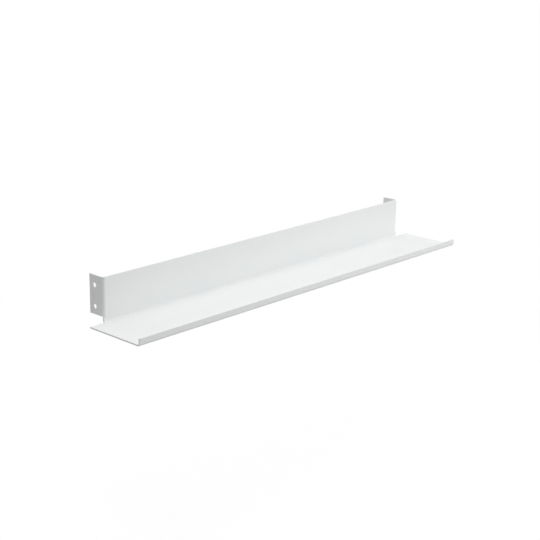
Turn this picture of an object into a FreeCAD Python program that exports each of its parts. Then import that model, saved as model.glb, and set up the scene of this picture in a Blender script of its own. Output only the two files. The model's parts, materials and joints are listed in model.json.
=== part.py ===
import FreeCAD, Part
import math
import os
import Sketcher

# Driving dimensions in millimetres, with what each one measures
DRIVING_SIZES = [
    ("shelf_length", 800.0, "floor and lip, end to end"),
    ("floor_depth", 120.0, "front of the lip to the rear of the back panel"),
    ("shelf_height", 75.0, "underside of the floor to the top of the back panel"),
    ("lip_height", 13.0, "underside of the floor to the top of the lip"),
    ("sheet_thickness", 2.5, "coated steel sheet"),
    ("bend_radius", 2.5, "inside of every fold"),
    ("end_overhang", 29.0, "end of the floor to the outer face of the flange"),
    ("flange_reach", 30.0, "rear of the back panel to the rear edge of the flange"),
    ("flange_rise", 10.5, "underside of the floor to the lower edge of the flange"),
    ("foot_inset", 0.5, "outer face of the flange to the end of the panel's foot"),
    ("relief_slit", 0.3, "cut that frees the flange from the panel's foot"),
    ("hole_diameter", 8.0, "easy clearance for an M6 screw"),
    ("hole_setback", 11.5, "rear edge of the flange to the hole centres"),
    ("hole_rise", 13.0, "lower edge of the flange to the lower hole"),
    ("hole_drop", 16.5, "top of the flange to the upper hole"),
]

# Places worked out from the driving dimensions
OUTER_RADIUS = "(Sizes.bend_radius + Sizes.sheet_thickness)"
FRONT_Y = "(-(Sizes.floor_depth + Sizes.flange_reach) / 2)"
PANEL_FRONT_Y = f"({FRONT_Y} + Sizes.floor_depth - Sizes.sheet_thickness)"
FRONT_FOLD_Y = f"({FRONT_Y} + {OUTER_RADIUS})"
REAR_FOLD_Y = f"({PANEL_FRONT_Y} - Sizes.bend_radius)"
FLANGE_X = "(Sizes.shelf_length / 2 - Sizes.end_overhang)"
END_FOLD_X = f"({FLANGE_X} - {OUTER_RADIUS})"
FOOT_TOP_Z = "(Sizes.flange_rise - Sizes.relief_slit)"
FLANGE_DEPTH = "(Sizes.sheet_thickness + Sizes.flange_reach)"
FLANGE_HEIGHT = "(Sizes.shelf_height - Sizes.flange_rise)"
HOLE_DEPTH = f"({FLANGE_DEPTH} - Sizes.hole_setback)"
HOLE_SPACING = f"({FLANGE_HEIGHT} - Sizes.hole_rise - Sizes.hole_drop)"

# Sketcher's numbers for a curve's start, end and centre, and for the sketch's origin and axes
START, END, CENTRE = range(1, 4)
ORIGIN = X_AXIS = -1
Y_AXIS = X_AXIS - 1

# Share of a hole by which the drilled volume may be off
DRILL_TOLERANCE = 0.01

doc = FreeCAD.newDocument("WallShelf")
sheet = doc.addObject("Spreadsheet::Sheet", "Sizes")


def fill_sheet():
    """Write each driving dimension and its meaning in a row of the sheet."""
    for row, (alias, length, meaning) in enumerate(DRIVING_SIZES, start=1):
        sheet.set(f"A{row}", meaning)
        sheet.set(f"B{row}", str(length))
        sheet.setAlias(f"B{row}", alias)
    doc.recompute()


def value(expression):
    """The number that an expression over the sheet stands for."""
    return float(sheet.evalExpression(expression))


def add_body(label, x="0", y="0", z="0"):
    """A body for one wall, with its own origin placed by the sheet."""
    body = doc.addObject("PartDesign::Body", label)
    body.Label = label
    for axis, place in zip("xyz", (x, y, z)):
        body.setExpression(f"Placement.Base.{axis}", place)
    return body


def add_sketch(body, name, role, y="0", z="0"):
    """A sketch on one of the body's own planes, shifted by y in it and by z along its normal."""
    sketch = body.newObject("Sketcher::SketchObject", name)
    plane = next(item for item in body.Origin.OriginFeatures if item.Role == role)
    sketch.AttachmentSupport = [(plane, "")]
    sketch.MapMode = "FlatFace"
    sketch.setExpression("AttachmentOffset.Base.y", y)
    sketch.setExpression("AttachmentOffset.Base.z", z)
    return sketch


def add_size(sketch, expression, kind, *where):
    """A dimension in a sketch that follows the sheet."""
    index = sketch.addConstraint(Sketcher.Constraint(kind, *where, value(expression)))
    sketch.setExpression(f"Constraints[{index}]", expression)


def draw_rectangle(sketch, width, depth):
    """A rectangle centred on the sketch's Y axis, with its near side on the X axis."""
    right = value(width) / 2
    far = value(depth)
    corners = [(-right, 0), (right, 0), (right, far), (-right, far)]
    points = [FreeCAD.Vector(x, y, 0) for x, y in corners]
    for index, point in enumerate(points):
        sketch.addGeometry(Part.LineSegment(point, points[(index + 1) % 4]), False)
    near_side, right_side, far_side, left_side = range(4)
    for index in range(4):
        sketch.addConstraint(Sketcher.Constraint("Coincident", index, END, (index + 1) % 4, START))
    for kind, *where in [
        ("Symmetric", near_side, START, near_side, END, Y_AXIS),
        ("PointOnObject", near_side, START, X_AXIS),
        ("Vertical", right_side),
        ("Horizontal", far_side),
        ("Vertical", left_side),
    ]:
        sketch.addConstraint(Sketcher.Constraint(kind, *where))
    add_size(sketch, width, "DistanceX", near_side, START, near_side, END)
    add_size(sketch, depth, "DistanceY", right_side, START, right_side, END)


def draw_fold(sketch, side, tip):
    """A quarter bend from the sketch's origin to one side, and a leg up to the tip.

    The outer arc starts at the origin, along the X axis, and turns up. Side is 1 or -1.
    """
    inner = value("Sizes.bend_radius")
    outer = value(OUTER_RADIUS)
    top = value(tip)
    near, far = (START, END) if side > 0 else (END, START)
    first_angle = 1.5 * math.pi if side > 0 else math.pi

    def point(x, y):
        return FreeCAD.Vector(side * x, y, 0)

    def arc(radius):
        circle = Part.Circle(point(0, outer), FreeCAD.Vector(0, 0, 1), radius)
        return Part.ArcOfCircle(circle, first_angle, first_angle + math.pi / 2)

    curves = [
        Part.LineSegment(point(0, outer - inner), point(0, 0)),
        arc(outer),
        Part.LineSegment(point(outer, outer), point(outer, top)),
        Part.LineSegment(point(outer, top), point(inner, top)),
        Part.LineSegment(point(inner, top), point(inner, outer)),
        arc(inner),
    ]
    cap, outer_arc, outer_leg, tip_edge, inner_leg, inner_arc = sketch.addGeometry(curves, False)
    for kind, *where in [
        ("Coincident", cap, END, ORIGIN, START),
        ("Vertical", cap),
        ("Coincident", cap, END, outer_arc, near),
        ("Tangent", outer_arc, far, outer_leg, START),
        ("Vertical", outer_leg),
        ("Coincident", outer_leg, END, tip_edge, START),
        ("Horizontal", tip_edge),
        ("Coincident", tip_edge, END, inner_leg, START),
        ("Vertical", inner_leg),
        ("Tangent", inner_leg, END, inner_arc, far),
        ("Coincident", inner_arc, near, cap, START),
        ("Coincident", inner_arc, CENTRE, outer_arc, CENTRE),
        ("PointOnObject", outer_arc, CENTRE, Y_AXIS),
    ]:
        sketch.addConstraint(Sketcher.Constraint(kind, *where))
    add_size(sketch, "Sizes.bend_radius", "Radius", inner_arc)
    add_size(sketch, "Sizes.sheet_thickness", "Distance", tip_edge)
    add_size(sketch, tip, "DistanceY", ORIGIN, START, outer_leg, END)


def add_pad(body, sketch, name, length, both_ways=False):
    """Raise a sketch into a wall, one way or evenly both ways."""
    pad = body.newObject("PartDesign::Pad", name)
    pad.Profile = sketch
    pad.SideType = "Symmetric" if both_ways else "One side"
    pad.setExpression("Length", length)
    return pad


def make_floor_panel():
    """The flat floor between the front fold and the rear fold."""
    body = add_body("floor_panel", y=FRONT_FOLD_Y)
    sketch = add_sketch(body, "FloorOutline", "XY_Plane")
    draw_rectangle(sketch, "Sizes.shelf_length", f"{REAR_FOLD_Y} - {FRONT_FOLD_Y}")
    add_pad(body, sketch, "Floor", "Sizes.sheet_thickness")
    return body


def make_front_lip():
    """The front bend and the lip that it raises."""
    body = add_body("front_lip", y=FRONT_FOLD_Y)
    sketch = add_sketch(body, "LipProfile", "YZ_Plane")
    draw_fold(sketch, -1, "Sizes.lip_height")
    add_pad(body, sketch, "Lip", "Sizes.shelf_length", both_ways=True)
    return body


def make_back_panel():
    """The rear bend with the panel's foot, and the panel between the two flanges."""
    body = add_body("back_panel", y=REAR_FOLD_Y)
    foot = add_sketch(body, "FootProfile", "YZ_Plane")
    draw_fold(foot, 1, FOOT_TOP_Z)
    add_pad(body, foot, "Foot", f"2 * ({FLANGE_X} - Sizes.foot_inset)", both_ways=True)
    panel = add_sketch(body, "PanelSection", "XY_Plane", y="Sizes.bend_radius", z=FOOT_TOP_Z)
    draw_rectangle(panel, f"2 * {END_FOLD_X}", "Sizes.sheet_thickness")
    add_pad(body, panel, "Panel", f"Sizes.shelf_height - {FOOT_TOP_Z}")
    return body


def draw_holes(sketch):
    """Two round holes, one above the other."""
    radius = value("Sizes.hole_diameter") / 2
    across = value(HOLE_DEPTH)
    lower_rise = value("Sizes.hole_rise")
    upper_rise = lower_rise + value(HOLE_SPACING)
    lower, upper = sketch.addGeometry(
        [
            Part.Circle(FreeCAD.Vector(across, rise, 0), FreeCAD.Vector(0, 0, 1), radius)
            for rise in (lower_rise, upper_rise)
        ],
        False,
    )
    sketch.addConstraint(Sketcher.Constraint("Vertical", lower, CENTRE, upper, CENTRE))
    sketch.addConstraint(Sketcher.Constraint("Equal", lower, upper))
    add_size(sketch, "Sizes.hole_diameter", "Diameter", lower)
    add_size(sketch, HOLE_DEPTH, "DistanceX", ORIGIN, START, lower, CENTRE)
    add_size(sketch, "Sizes.hole_rise", "DistanceY", ORIGIN, START, lower, CENTRE)
    add_size(sketch, HOLE_SPACING, "DistanceY", lower, CENTRE, upper, CENTRE)


def make_end_flange(label, side):
    """One end bend, the flange that it turns backwards, and the two holes in it."""
    body = add_body(label, x=f"{side} * {END_FOLD_X}", y=PANEL_FRONT_Y, z="Sizes.flange_rise")
    profile = add_sketch(body, "FlangeProfile", "XY_Plane")
    draw_fold(profile, side, FLANGE_DEPTH)
    add_pad(body, profile, "Flange", FLANGE_HEIGHT)
    doc.recompute()
    whole_volume = body.Shape.Volume

    holes = add_sketch(body, "HolePlaces", "YZ_Plane", z=f"{side} * {OUTER_RADIUS}")
    draw_holes(holes)
    drill = body.newObject("PartDesign::Hole", "Holes")
    drill.Profile = holes
    drill.Threaded = False
    drill.DepthType = "ThroughAll"
    drill.Reversed = side < 0
    drill.setExpression("Diameter", "Sizes.hole_diameter")
    doc.recompute()
    one_hole = math.pi / 4 * value("Sizes.hole_diameter ^ 2 * Sizes.sheet_thickness")
    if abs(whole_volume - body.Shape.Volume - 2 * one_hole) > DRILL_TOLERANCE * one_hole:
        raise RuntimeError(f"{label}: the holes don't go through the flange")
    return body


def check(bodies):
    """Stop if any object failed or any wall isn't one valid solid."""
    for item in doc.Objects:
        if "Invalid" in item.State or "Error" in item.State:
            raise RuntimeError(f"{item.Label}: {item.State}")
    for body in bodies:
        shape = body.Shape
        if shape.isNull() or not shape.isValid() or len(shape.Solids) != 1:
            raise RuntimeError(f"{body.Label}: not one valid solid")


fill_sheet()
walls = [
    make_floor_panel(),
    make_front_lip(),
    make_back_panel(),
    make_end_flange("left_end_flange", -1),
    make_end_flange("right_end_flange", 1),
]
doc.recompute()
check(walls)

os.makedirs("parts", exist_ok=True)
for wall in walls:
    wall.Shape.exportStep(f"parts/{wall.Label}.step")
    box = wall.Shape.BoundBox
    print(
        f"{wall.Label}: {wall.Shape.Volume:.1f} mm3,"
        f" x {box.XMin:.2f} to {box.XMax:.2f},"
        f" y {box.YMin:.2f} to {box.YMax:.2f},"
        f" z {box.ZMin:.2f} to {box.ZMax:.2f}"
    )
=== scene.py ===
"""Folded steel wall shelf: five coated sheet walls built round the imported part, with their stage."""
import json
import math

import bmesh
import bpy
from bpy.props import FloatProperty, FloatVectorProperty, IntProperty, PointerProperty
from mathutils import Matrix, Quaternion, Vector


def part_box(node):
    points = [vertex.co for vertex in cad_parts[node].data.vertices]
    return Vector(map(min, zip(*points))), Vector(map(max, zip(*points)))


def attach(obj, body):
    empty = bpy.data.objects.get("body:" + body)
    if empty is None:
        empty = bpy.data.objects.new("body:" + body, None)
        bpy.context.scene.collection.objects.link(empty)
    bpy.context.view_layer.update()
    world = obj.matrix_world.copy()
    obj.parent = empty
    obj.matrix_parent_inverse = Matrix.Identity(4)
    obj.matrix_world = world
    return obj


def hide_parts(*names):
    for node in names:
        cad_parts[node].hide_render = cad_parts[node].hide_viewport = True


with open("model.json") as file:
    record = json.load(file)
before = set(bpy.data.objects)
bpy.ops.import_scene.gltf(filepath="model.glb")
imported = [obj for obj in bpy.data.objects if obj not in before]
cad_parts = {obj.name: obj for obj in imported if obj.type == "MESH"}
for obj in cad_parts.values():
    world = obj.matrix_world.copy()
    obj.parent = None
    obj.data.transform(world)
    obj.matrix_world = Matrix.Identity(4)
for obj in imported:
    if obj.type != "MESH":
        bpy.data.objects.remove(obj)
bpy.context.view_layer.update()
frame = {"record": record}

bl_info = {
    "name": "Folded Wall Shelf",
    "version": (1, 0, 0),
    "blender": (4, 5, 0),
    "location": "3D View > Sidebar > Shelf",
    "description": "Builds a white powder-coated shelf folded from one sheet of steel",
    "category": "Object",
}

MM = 0.001
# Two places closer than this count as one
CLOSE = 0.01 * MM
QUARTER_TURN = math.pi / 2
# Faces that turn by more than this meet at a sharp edge
SHARP_TURN = math.pi / 4
HOLE_SIDES = 48
EDGE_STEPS = 3
# Index of refraction of baked powder, and the layers of noise in its clouds and its ripple
POWDER_IOR = 1.5
CLOUD_DETAIL = 3.0
PEEL_DETAIL = 1.0
WHITE = (1.0, 1.0, 1.0, 1.0)
# Own light of the ground under the shelf: white where the lamps reach it, and just under white in the shadow
GROUND_GLOW = 0.79
# The ground is all white from this many shadow reaches on
FADE_END = 2
# Softboxes round the shelf: place, width, height and power
SOFTBOXES = {
    "right_front_softbox": ((1.3, -1.7, 0.3), 1.0, 1.25, 12.7),
    "top_softbox": ((0.0, -0.2, 1.8), 2.0, 2.0, 20.2),
    "back_softbox": ((0.0, 1.6, 1.2), 1.2, 1.2, 6.0),
}

# Places of the walls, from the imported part
FLOOR_LOW, FLOOR_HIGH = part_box("floor_panel")
LIP_LOW, LIP_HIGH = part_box("front_lip")
BACK_LOW, BACK_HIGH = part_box("back_panel")
FLANGE_LOW, FLANGE_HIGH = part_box("right_end_flange")
HOLES = next(m for m in frame["record"]["mounts"] if m["name"] == "right_flange_holes")
SHEET_THICKNESS = FLOOR_HIGH.z - FLOOR_LOW.z
BEND_RADIUS = FLOOR_LOW.y - LIP_LOW.y - SHEET_THICKNESS


def linear(hex_colour):
    """An sRGB hex colour as linear red, green and blue."""
    shares = [int(hex_colour[i:i + 2], 16) / 255 for i in (1, 3, 5)]
    return [s / 12.92 if s <= 0.04045 else ((s + 0.055) / 1.055) ** 2.4 for s in shares]


class ShelfSheet(bpy.types.PropertyGroup):
    """Sizes of the folded sheet"""

    thickness: FloatProperty(
        name="Sheet Thickness", description="Thickness of the coated steel sheet",
        default=SHEET_THICKNESS, min=0.5 * MM, unit="LENGTH")
    bend_radius: FloatProperty(
        name="Bend Radius", description="Inside radius of every fold",
        default=BEND_RADIUS, min=0.1 * MM, unit="LENGTH")
    bend_steps: IntProperty(
        name="Bend Steps", description="Flats that make up one quarter-turn fold", default=20, min=4)
    edge_radius: FloatProperty(
        name="Edge Radius", description="Round that the coat gives to each cut edge",
        default=0.12 * MM, min=0.05 * MM, unit="LENGTH")
    relief_slit: FloatProperty(
        name="Relief Slit", description="Cut between an end flange and the foot of the back panel",
        default=0.3 * MM, min=0.1 * MM, unit="LENGTH")
    hole_diameter: FloatProperty(
        name="Hole Diameter", description="Diameter of the screw holes in the end flanges",
        default=2 * HOLES["dims"]["hole_r_mm"] * MM, min=1 * MM, unit="LENGTH")
    hole_spacing: FloatProperty(
        name="Hole Spacing", description="Distance between the two screw holes of one flange",
        default=HOLES["dims"]["spacing_y_mm"] * MM, min=1 * MM, unit="LENGTH")


class ShelfCoat(bpy.types.PropertyGroup):
    """Look of the powder coat"""

    colour: FloatVectorProperty(
        name="Colour", description="Colour of the coat", default=linear("#EFF0F0"), subtype="COLOR")
    thin_colour: FloatVectorProperty(
        name="Thin Colour", description="Colour where the coat lies a little thinner",
        default=linear("#ECEEEE"), subtype="COLOR")
    roughness: FloatProperty(
        name="Roughness", description="Satin finish of the baked powder",
        default=0.6, min=0, max=1, subtype="FACTOR")
    roughness_spread: FloatProperty(
        name="Roughness Spread", description="How far the roughness strays from crest to hollow",
        default=0.04, min=0, max=0.2, subtype="FACTOR")
    cloud_size: FloatProperty(
        name="Cloud Size", description="Width of the patches where the coat lies thicker or thinner",
        default=60 * MM, min=1 * MM, unit="LENGTH")
    # Real orange peel is 1 to 2 mm from crest to crest; 4 mm is the finest that the render can show
    peel_size: FloatProperty(
        name="Peel Size", description="Distance between the crests of the orange-peel ripple",
        default=4 * MM, min=0.5 * MM, unit="LENGTH")
    peel_depth: FloatProperty(
        name="Peel Depth", description="Height of the orange-peel ripple",
        default=0.05 * MM, min=0, unit="LENGTH")
    peel_strength: FloatProperty(
        name="Peel Strength", description="How much of the ripple shows in the light",
        default=0.25, min=0, max=1, subtype="FACTOR")


class ShelfStage(bpy.types.PropertyGroup):
    """Camera, lights and ground"""

    aim: FloatVectorProperty(
        name="Aim", description="Point that the camera looks at",
        default=(-0.039, 0.0, 0.0268), subtype="XYZ", unit="LENGTH")
    distance: FloatProperty(
        name="Distance", description="From the aim point to the camera", default=2.1126, unit="LENGTH")
    azimuth: FloatProperty(
        name="Azimuth", description="Turn of the camera round the shelf",
        default=math.radians(-47.2645), subtype="ANGLE")
    elevation: FloatProperty(
        name="Elevation", description="Camera above the horizon",
        default=math.radians(16.857), subtype="ANGLE")
    roll: FloatProperty(
        name="Roll", description="Tilt of the camera about its own axis",
        default=math.radians(1.0315), subtype="ANGLE")
    focal_length: FloatProperty(
        name="Focal Length", description="Focal length on a 36 mm sensor", default=82.21, unit="CAMERA")
    drop: FloatProperty(
        name="Drop", description="Height of the shelf above the ground", default=0.35, unit="LENGTH")
    ground_size: FloatProperty(
        name="Ground Size", description="From the middle of the ground to its edge",
        default=30.0, unit="LENGTH")
    shadow_reach: FloatProperty(
        name="Shadow Reach", description="Distance from the shelf where the ground starts to fade to white",
        default=0.6, unit="LENGTH")
    shadow_share: FloatProperty(
        name="Shadow Share", description="Share of the ground's white that shows the shadow",
        default=0.25, min=0, max=1, subtype="FACTOR")
    paper_colour: FloatVectorProperty(
        name="Paper Colour", description="Colour of the light that the ground throws back on the shelf",
        default=linear("#C5C5C5"), subtype="COLOR")
    fill: FloatProperty(
        name="Fill", description="Strength of the even light from all round the studio", default=0.47, min=0)


def add_node(tree, kind, links=None, **settings):
    """Adds a node, sets it, feeds its inputs with values or other outputs, and gives its own outputs."""
    node = tree.nodes.new(kind)
    for name, setting in settings.items():
        setattr(node, name, setting)
    for socket, source in (links or {}).items():
        if isinstance(source, bpy.types.NodeSocket):
            tree.links.new(source, node.inputs[socket])
        else:
            node.inputs[socket].default_value = source
    return node.outputs


def start_tree(name, sockets):
    """An empty Geometry Nodes tree with these named inputs, and the outputs of its input node."""
    tree = bpy.data.node_groups.new(name, "GeometryNodeTree")
    for label, kind in sockets.items():
        tree.interface.new_socket(label, in_out="INPUT", socket_type=kind)
    tree.interface.new_socket("Mesh", in_out="OUTPUT", socket_type="NodeSocketGeometry")
    return tree, tree.nodes.new("NodeGroupInput").outputs


def close_tree(tree, mesh, coat):
    """Ends a tree: smooth shading, no instances left, and the coat on every face."""
    smooth = add_node(tree, "GeometryNodeSetShadeSmooth", {"Geometry": mesh})[0]
    real = add_node(tree, "GeometryNodeRealizeInstances", {"Geometry": smooth})[0]
    coated = add_node(tree, "GeometryNodeSetMaterial", {"Geometry": real, "Material": coat})[0]
    add_node(tree, "NodeGroupOutput", {"Mesh": coated})
    return tree


def folded_wall_tree():
    """A strip that leaves a fold line, turns up through a quarter circle and runs on straight to its tip.
    X points away from the flat that it leaves, Y along the turned-up leg, and Z along the fold line."""
    tree, size = start_tree("Folded wall", {
        "Length": "NodeSocketFloat", "Leg": "NodeSocketFloat", "Thickness": "NodeSocketFloat",
        "Bend radius": "NodeSocketFloat", "Bend steps": "NodeSocketInt", "Coat": "NodeSocketMaterial"})
    # The strip starts flat, one unit long for each step of the bend and one more for the leg
    flats = add_node(tree, "ShaderNodeMath", {0: size["Bend steps"], 1: 1.0}, operation="ADD")[0]
    rows = add_node(tree, "ShaderNodeMath", {0: size["Bend steps"], 1: 2.0}, operation="ADD")[0]
    flat_size = add_node(
        tree, "ShaderNodeCombineXYZ", {"X": flats, "Y": size["Thickness"], "Z": size["Length"]})[0]
    flat_strip = add_node(
        tree, "GeometryNodeMeshCube",
        {"Size": flat_size, "Vertices X": rows, "Vertices Y": 2, "Vertices Z": 2})[0]
    # Each row of points then goes to its place on the bend, and the last row to the tip
    place = add_node(tree, "GeometryNodeInputPosition")[0]
    along, across, level = add_node(tree, "ShaderNodeSeparateXYZ", {0: place})
    row = add_node(tree, "ShaderNodeMath", {0: flats, 1: 0.5, 2: along}, operation="MULTIPLY_ADD")[0]
    share = add_node(
        tree, "ShaderNodeMath", {0: row, 1: size["Bend steps"]}, operation="DIVIDE", use_clamp=True)[0]
    angle = add_node(tree, "ShaderNodeMath", {0: share, 1: QUARTER_TURN}, operation="MULTIPLY")[0]
    sine = add_node(tree, "ShaderNodeMath", {0: angle}, operation="SINE")[0]
    cosine = add_node(tree, "ShaderNodeMath", {0: angle}, operation="COSINE")[0]
    middle = add_node(
        tree, "ShaderNodeMath", {0: size["Thickness"], 1: 0.5, 2: size["Bend radius"]},
        operation="MULTIPLY_ADD")[0]
    outer = add_node(
        tree, "ShaderNodeMath", {0: size["Thickness"], 1: size["Bend radius"]}, operation="ADD")[0]
    radius = add_node(tree, "ShaderNodeMath", {0: middle, 1: across}, operation="SUBTRACT")[0]
    out = add_node(tree, "ShaderNodeMath", {0: radius, 1: sine}, operation="MULTIPLY")[0]
    below = add_node(tree, "ShaderNodeMath", {0: radius, 1: cosine}, operation="MULTIPLY")[0]
    on_bend = add_node(tree, "ShaderNodeMath", {0: outer, 1: below}, operation="SUBTRACT")[0]
    last_bent = add_node(tree, "ShaderNodeMath", {0: size["Bend steps"], 1: 0.5}, operation="ADD")[0]
    at_tip = add_node(tree, "ShaderNodeMath", {0: row, 1: last_bent}, operation="GREATER_THAN")[0]
    straight = add_node(tree, "ShaderNodeMath", {0: size["Leg"], 1: outer}, operation="SUBTRACT")[0]
    up = add_node(tree, "ShaderNodeMath", {0: at_tip, 1: straight, 2: on_bend}, operation="MULTIPLY_ADD")[0]
    point = add_node(tree, "ShaderNodeCombineXYZ", {"X": out, "Y": up, "Z": level})[0]
    strip = add_node(tree, "GeometryNodeSetPosition", {"Geometry": flat_strip, "Position": point})[0]
    return close_tree(tree, strip, size["Coat"])


def cut_tree(name, sockets, cutter):
    """A tree that takes two like cutters, one "Step" apart along Z, out of the mesh that it is given."""
    tree, size = start_tree(name, {
        "Mesh": "NodeSocketGeometry", "First": "NodeSocketVector", "Step": "NodeSocketFloat",
        "Coat": "NodeSocketMaterial", **sockets})
    step = add_node(tree, "ShaderNodeCombineXYZ", {"Z": size["Step"]})[0]
    points = add_node(
        tree, "GeometryNodeMeshLine", {"Count": 2, "Start Location": size["First"], "Offset": step})[0]
    pair = add_node(
        tree, "GeometryNodeInstanceOnPoints", {"Points": points, "Instance": cutter(tree, size)})[0]
    cutters = add_node(tree, "GeometryNodeRealizeInstances", {"Geometry": pair})[0]
    left = add_node(
        tree, "GeometryNodeMeshBoolean", {"Mesh 1": size["Mesh"], "Mesh 2": cutters},
        operation="DIFFERENCE", solver="EXACT")[0]
    return close_tree(tree, left, size["Coat"])


def box_cutter(tree, size):
    """The sheet that is sheared away above one end of the back panel's foot."""
    return add_node(tree, "GeometryNodeMeshCube", {"Size": size["Cut"]})[0]


def hole_cutter(tree, size):
    """A drill that lies along X."""
    bore = add_node(tree, "ShaderNodeMath", {0: size["Diameter"], 1: 0.5}, operation="MULTIPLY")[0]
    depth = add_node(tree, "ShaderNodeMath", {0: size["Thickness"], 1: 2.0}, operation="MULTIPLY")[0]
    drill = add_node(
        tree, "GeometryNodeMeshCylinder", {"Vertices": HOLE_SIDES, "Radius": bore, "Depth": depth})[0]
    return add_node(tree, "GeometryNodeTransform", {"Geometry": drill, "Rotation": (0, QUARTER_TURN, 0)})[0]


def sheared_ends_tree():
    """Takes the sheet above both ends of the back panel's foot away."""
    return cut_tree("Sheared ends", {"Cut": "NodeSocketVector"}, box_cutter)


def screw_holes_tree():
    """Drills the two screw holes of one end flange."""
    return cut_tree(
        "Screw holes", {"Thickness": "NodeSocketFloat", "Diameter": "NodeSocketFloat"}, hole_cutter)


def tree_for(name, build):
    """The tree of that name, built the first time that it is wanted."""
    return bpy.data.node_groups.get(name) or build()


def add_tree(piece, tree, values):
    """Adds a tree to a piece as a modifier, with these values on its named inputs."""
    modifier = piece.modifiers.new(tree.name, "NODES")
    modifier.node_group = tree
    for socket in tree.interface.items_tree:
        if socket.in_out == "INPUT" and socket.name in values:
            modifier[socket.identifier] = values[socket.name]


def settle(piece):
    """Turns a piece's modifiers into its own plain mesh."""
    graph = bpy.context.evaluated_depsgraph_get()
    made = bpy.data.meshes.new_from_object(
        piece.evaluated_get(graph), preserve_all_data_layers=True, depsgraph=graph)
    piece.modifiers.clear()
    bare, piece.data = piece.data, made
    bpy.data.meshes.remove(bare)
    made.name = piece.name


def new_piece(name):
    """An empty mesh object in the scene."""
    piece = bpy.data.objects.new(name, bpy.data.meshes.new(name))
    bpy.context.scene.collection.objects.link(piece)
    return piece


def round_cut_edges(piece, is_seam, sheet):
    """Rounds a piece's sharp outer edges, except on the seams where the sheet runs on into the next wall."""
    shape = bmesh.new()
    shape.from_mesh(piece.data)
    weight = shape.edges.layers.float.new("bevel_weight_edge")
    for edge in shape.edges:
        middle = (edge.verts[0].co + edge.verts[1].co) / 2
        edge[weight] = edge.calc_face_angle_signed() > SHARP_TURN and not is_seam(middle)
    shape.to_mesh(piece.data)
    shape.free()
    bevel = piece.modifiers.new("Coated edges", "BEVEL")
    bevel.limit_method = "WEIGHT"
    bevel.width = sheet.edge_radius
    bevel.segments = EDGE_STEPS
    bevel.use_clamp_overlap = False


def finish_piece(piece, node, place=Matrix.Identity(4)):
    """Puts a piece in its place, evens out its shading and lets it stand for its CAD node."""
    settle(piece)
    piece.data.transform(place)
    piece.data.shade_smooth()
    piece.data.set_sharp_from_angle(angle=SHARP_TURN)
    even = piece.modifiers.new("Even shading", "WEIGHTED_NORMAL")
    even.keep_sharp = True
    settle(piece)
    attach(piece, "root")
    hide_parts(node)


def near(a, b):
    """Whether two lengths are the same to a hundredth of a millimetre."""
    return abs(a - b) < CLOSE


def on_fold_line(middle):
    """Whether a place on a folded wall, in the wall's own axes, lies on its fold line."""
    return near(middle.x, 0)


def fold_wall(name, sheet, length, leg):
    """A new piece with the folded wall tree's strip as its mesh."""
    piece = new_piece(name)
    add_tree(piece, tree_for("Folded wall", folded_wall_tree), {
        "Length": length, "Leg": leg, "Thickness": sheet.thickness, "Bend radius": sheet.bend_radius,
        "Bend steps": sheet.bend_steps, "Coat": powder_coat()})
    settle(piece)
    return piece


def axes(x, y, z, origin):
    """The matrix that turns a wall's own axes to these and puts its fold line's middle at the origin."""
    turn = Matrix((x, y, z)).transposed().to_4x4()
    return Matrix.Translation(origin) @ turn


def powder_coat():
    """White powder coat, sprayed dry on the folded steel and baked.
    It gives an even satin white, with a faint orange-peel ripple and slight clouds where it lies thinner."""
    made = bpy.data.materials.get("white_powder_coat")
    if made:
        return made
    look = bpy.context.scene.shelf_coat
    made = bpy.data.materials.new("white_powder_coat")
    made.use_nodes = True
    tree = made.node_tree
    tree.nodes.clear()
    here = add_node(tree, "ShaderNodeTexCoord")["Object"]
    clouds = add_node(
        tree, "ShaderNodeTexNoise",
        {"Vector": here, "Scale": 1 / look.cloud_size, "Detail": CLOUD_DETAIL})["Fac"]
    colour = add_node(
        tree, "ShaderNodeMix", {0: clouds, 6: (*look.thin_colour, 1.0), 7: (*look.colour, 1.0)},
        data_type="RGBA")[2]
    peel = add_node(
        tree, "ShaderNodeTexNoise",
        {"Vector": here, "Scale": 1 / look.peel_size, "Detail": PEEL_DETAIL})["Fac"]
    ripple = add_node(
        tree, "ShaderNodeBump",
        {"Height": peel, "Strength": look.peel_strength, "Distance": look.peel_depth})["Normal"]
    roughness = add_node(tree, "ShaderNodeMapRange", {
        "Value": peel, "To Min": look.roughness - look.roughness_spread,
        "To Max": look.roughness + look.roughness_spread})["Result"]
    coat = add_node(
        tree, "ShaderNodeBsdfPrincipled",
        {"Base Color": colour, "Roughness": roughness, "Normal": ripple, "IOR": POWDER_IOR})["BSDF"]
    add_node(tree, "ShaderNodeOutputMaterial", {"Surface": coat})
    return made


class SHELF_OT_floor_panel(bpy.types.Operator):
    """Add the flat floor that carries the load"""

    bl_idname = "shelf.floor_panel"
    bl_label = "Floor Panel"

    def execute(self, context):
        sheet = context.scene.shelf_sheet
        piece = new_piece("coated_floor")
        foot_end = BACK_HIGH.x
        shape = bmesh.new()
        bmesh.ops.create_cube(shape, size=1)
        bmesh.ops.scale(shape, vec=FLOOR_HIGH - FLOOR_LOW, verts=shape.verts)
        bmesh.ops.translate(shape, vec=(FLOOR_HIGH + FLOOR_LOW) / 2, verts=shape.verts)
        for side in (-1, 1):
            bmesh.ops.bisect_plane(
                shape, geom=[*shape.verts, *shape.edges, *shape.faces],
                plane_co=(side * foot_end, 0, 0), plane_no=(side, 0, 0))
        shape.to_mesh(piece.data)
        shape.free()
        piece.data.materials.append(powder_coat())

        def is_seam(middle):
            return near(middle.y, FLOOR_LOW.y) or (near(middle.y, FLOOR_HIGH.y) and abs(middle.x) <= foot_end)

        round_cut_edges(piece, is_seam, sheet)
        finish_piece(piece, "floor_panel")
        return {"FINISHED"}


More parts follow.
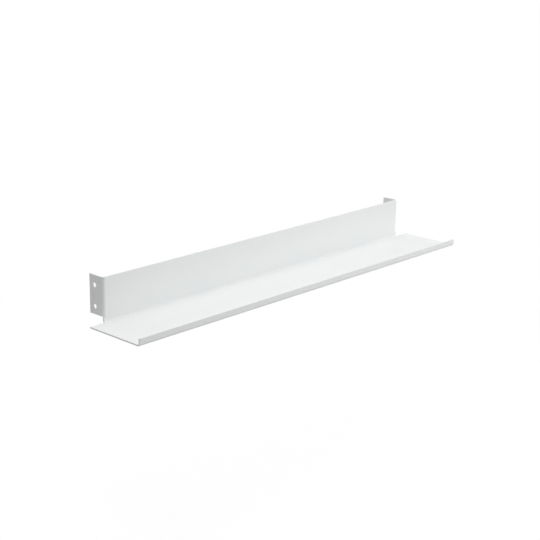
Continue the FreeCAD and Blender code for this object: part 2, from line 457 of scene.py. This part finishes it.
class SHELF_OT_front_lip(bpy.types.Operator):
    """Add the low lip that is folded up along the front of the floor"""

    bl_idname = "shelf.front_lip"
    bl_label = "Front Lip"

    def execute(self, context):
        sheet = context.scene.shelf_sheet
        piece = fold_wall("coated_lip", sheet, LIP_HIGH.x - LIP_LOW.x, LIP_HIGH.z - LIP_LOW.z)
        round_cut_edges(piece, on_fold_line, sheet)
        place = axes((0, -1, 0), (0, 0, 1), (-1, 0, 0), (0, LIP_HIGH.y, LIP_LOW.z))
        finish_piece(piece, "front_lip", place)
        return {"FINISHED"}


class SHELF_OT_back_panel(bpy.types.Operator):
    """Add the back panel that is folded up along the rear of the floor, with its longer foot"""

    bl_idname = "shelf.back_panel"
    bl_label = "Back Panel"

    def execute(self, context):
        sheet = context.scene.shelf_sheet
        leg = BACK_HIGH.z - BACK_LOW.z
        panel_end = FLANGE_LOW.x
        foot_top = FLANGE_LOW.z - sheet.relief_slit
        piece = fold_wall("coated_back", sheet, 2 * BACK_HIGH.x, leg)
        cut_z = panel_end + leg / 2
        add_tree(piece, tree_for("Sheared ends", sheared_ends_tree), {
            "First": (0, foot_top + leg / 2, -cut_z), "Step": 2 * cut_z, "Cut": (leg, leg, leg),
            "Coat": powder_coat()})
        settle(piece)

        def is_seam(middle):
            at_flange = near(abs(middle.z), panel_end) and middle.y > foot_top + CLOSE
            return on_fold_line(middle) or at_flange

        round_cut_edges(piece, is_seam, sheet)
        place = axes((0, 1, 0), (0, 0, 1), (1, 0, 0), (0, BACK_LOW.y, BACK_LOW.z))
        finish_piece(piece, "back_panel", place)
        return {"FINISHED"}


class SHELF_OT_end_flanges(bpy.types.Operator):
    """Add the drilled flanges that are folded back at both ends of the back panel"""

    bl_idname = "shelf.end_flanges"
    bl_label = "End Flanges"

    def execute(self, context):
        sheet = context.scene.shelf_sheet
        height = FLANGE_HIGH.z - FLANGE_LOW.z
        middle_z = (FLANGE_HIGH.z + FLANGE_LOW.z) / 2
        _, hole_y, hole_z = HOLES["pos_m"]
        for name, side in (("left", -1), ("right", 1)):
            piece = fold_wall(f"coated_{name}_flange", sheet, height, FLANGE_HIGH.y - FLANGE_LOW.y)
            first = Vector((
                sheet.bend_radius + sheet.thickness / 2, hole_y - FLANGE_LOW.y,
                side * (hole_z - middle_z) - sheet.hole_spacing / 2))
            add_tree(piece, tree_for("Screw holes", screw_holes_tree), {
                "First": first, "Step": sheet.hole_spacing, "Thickness": sheet.thickness,
                "Diameter": sheet.hole_diameter, "Coat": powder_coat()})
            settle(piece)
            round_cut_edges(piece, on_fold_line, sheet)
            place = axes((side, 0, 0), (0, 1, 0), (0, 0, side), (side * FLANGE_LOW.x, FLANGE_LOW.y, middle_z))
            finish_piece(piece, f"{name}_end_flange", place)
        return {"FINISHED"}


def seen_rays(tree):
    """Gives 1 to what is seen, straight or in a reflection, and 0 to light on its way to the shelf."""
    rays = add_node(tree, "ShaderNodeLightPath")
    seen = add_node(
        tree, "ShaderNodeMath", {0: rays["Is Camera Ray"], 1: rays["Is Glossy Ray"]}, operation="MAXIMUM")[0]
    return add_node(tree, "ShaderNodeMath", {0: seen, 1: rays["Is Transmission Ray"]}, operation="MAXIMUM")[0]


def ground_material(stage):
    """Matt white studio paper: white to the eye, a little dimmer in the shadow, and clear from below."""
    made = bpy.data.materials.new("white_studio_paper")
    made.use_nodes = True
    tree = made.node_tree
    tree.nodes.clear()
    paper = add_node(tree, "ShaderNodeBsdfDiffuse", {"Color": (*stage.paper_colour, 1.0)})[0]
    shaded = add_node(tree, "ShaderNodeBsdfDiffuse", {"Color": (*3 * [stage.shadow_share], 1.0)})[0]
    glow = add_node(tree, "ShaderNodeEmission", {"Strength": GROUND_GLOW})[0]
    under = add_node(tree, "ShaderNodeAddShader", {0: shaded, 1: glow})[0]
    white = add_node(tree, "ShaderNodeEmission", {"Strength": 1.0})[0]
    here = add_node(tree, "ShaderNodeTexCoord")["Object"]
    distance = add_node(tree, "ShaderNodeVectorMath", {0: here}, operation="LENGTH")["Value"]
    away = add_node(
        tree, "ShaderNodeMapRange",
        {"Value": distance, "From Min": stage.shadow_reach, "From Max": FADE_END * stage.shadow_reach},
        interpolation_type="SMOOTHSTEP")["Result"]
    shown = add_node(tree, "ShaderNodeMixShader", {0: away, 1: under, 2: white})[0]
    above = add_node(tree, "ShaderNodeMixShader", {0: seen_rays(tree), 1: paper, 2: shown})[0]
    behind = add_node(tree, "ShaderNodeNewGeometry")["Backfacing"]
    clear = add_node(tree, "ShaderNodeBsdfTransparent")[0]
    ground = add_node(tree, "ShaderNodeMixShader", {0: behind, 1: above, 2: clear})[0]
    add_node(tree, "ShaderNodeOutputMaterial", {"Surface": ground})
    return made


class SHELF_OT_stage(bpy.types.Operator):
    """Add the ground, the sky, the lamps and the camera"""

    bl_idname = "shelf.stage"
    bl_label = "Stage"

    def execute(self, context):
        stage = context.scene.shelf_stage
        context.scene.view_settings.view_transform = "Standard"
        self.add_ground(stage)
        self.add_sky(context, stage)
        self.add_lamps(context)
        self.add_camera(context, stage)
        return {"FINISHED"}

    def add_ground(self, stage):
        """A wide sheet of paper below the shelf."""
        ground = new_piece("ground")
        shape = bmesh.new()
        bmesh.ops.create_grid(shape, size=stage.ground_size, matrix=Matrix.Translation((0, 0, -stage.drop)))
        shape.to_mesh(ground.data)
        shape.free()
        ground.data.materials.append(ground_material(stage))

    def add_sky(self, context, stage):
        """White to the eye, with an even fill light for the shelf."""
        world = bpy.data.worlds.new("studio")
        world.use_nodes = True
        tree = world.node_tree
        tree.nodes.clear()
        fill = add_node(tree, "ShaderNodeBackground", {"Color": WHITE, "Strength": stage.fill})[0]
        white = add_node(tree, "ShaderNodeBackground", {"Color": WHITE, "Strength": 1.0})[0]
        sky = add_node(tree, "ShaderNodeMixShader", {0: seen_rays(tree), 1: fill, 2: white})[0]
        add_node(tree, "ShaderNodeOutputWorld", {"Surface": sky})
        context.scene.world = world

    def add_lamps(self, context):
        """Softboxes that face the middle of the shelf."""
        for name, (place, width, height, power) in SOFTBOXES.items():
            lamp = bpy.data.lights.new(name, "AREA")
            lamp.shape = "RECTANGLE"
            lamp.size = width
            lamp.size_y = height
            lamp.energy = power
            held = bpy.data.objects.new(name, lamp)
            held.location = place
            held.rotation_euler = (-Vector(place)).to_track_quat("-Z", "Y").to_euler()
            context.scene.collection.objects.link(held)

    def add_camera(self, context, stage):
        """The camera, turned round its aim point and rolled about its own axis."""
        camera = bpy.data.cameras.new("camera")
        camera.lens = stage.focal_length
        held = bpy.data.objects.new("camera", camera)
        turn, tilt = stage.azimuth, stage.elevation
        back = Vector((math.sin(turn) * math.cos(tilt), -math.cos(turn) * math.cos(tilt), math.sin(tilt)))
        held.location = Vector(stage.aim) + back * stage.distance
        held.rotation_mode = "QUATERNION"
        held.rotation_quaternion = (-back).to_track_quat("-Z", "Y") @ Quaternion((0, 0, 1), stage.roll)
        context.scene.collection.objects.link(held)
        context.scene.camera = held


class SHELF_PT_sidebar(bpy.types.Panel):
    """Lists the pieces of the shelf and the sizes and colours that can be changed"""

    bl_idname = "SHELF_PT_sidebar"
    bl_label = "Folded Wall Shelf"
    bl_space_type = "VIEW_3D"
    bl_region_type = "UI"
    bl_category = "Shelf"

    def draw(self, context):
        for group in (context.scene.shelf_sheet, context.scene.shelf_coat, context.scene.shelf_stage):
            box = self.layout.box()
            for name in group.bl_rna.properties.keys():
                if name not in ("rna_type", "name"):
                    box.prop(group, name)
        for operator in OPERATORS:
            self.layout.operator(operator.bl_idname)


GROUPS = {"shelf_sheet": ShelfSheet, "shelf_coat": ShelfCoat, "shelf_stage": ShelfStage}
OPERATORS = (
    SHELF_OT_floor_panel, SHELF_OT_front_lip, SHELF_OT_back_panel, SHELF_OT_end_flanges, SHELF_OT_stage)


def register():
    """Makes the sizes, the operators and the panel known to Blender."""
    for name, group in GROUPS.items():
        bpy.utils.register_class(group)
        setattr(bpy.types.Scene, name, PointerProperty(type=group))
    for cls in (*OPERATORS, SHELF_PT_sidebar):
        bpy.utils.register_class(cls)


def unregister():
    """Takes them out again, last first."""
    for cls in (SHELF_PT_sidebar, *reversed(OPERATORS)):
        bpy.utils.unregister_class(cls)
    for name, group in reversed(GROUPS.items()):
        delattr(bpy.types.Scene, name)
        bpy.utils.unregister_class(group)


def main():
    """Builds the shelf and its stage."""
    register()
    bpy.ops.shelf.floor_panel()
    bpy.ops.shelf.front_lip()
    bpy.ops.shelf.back_panel()
    bpy.ops.shelf.end_flanges()
    bpy.ops.shelf.stage()


if __name__ == "__main__":
    main()
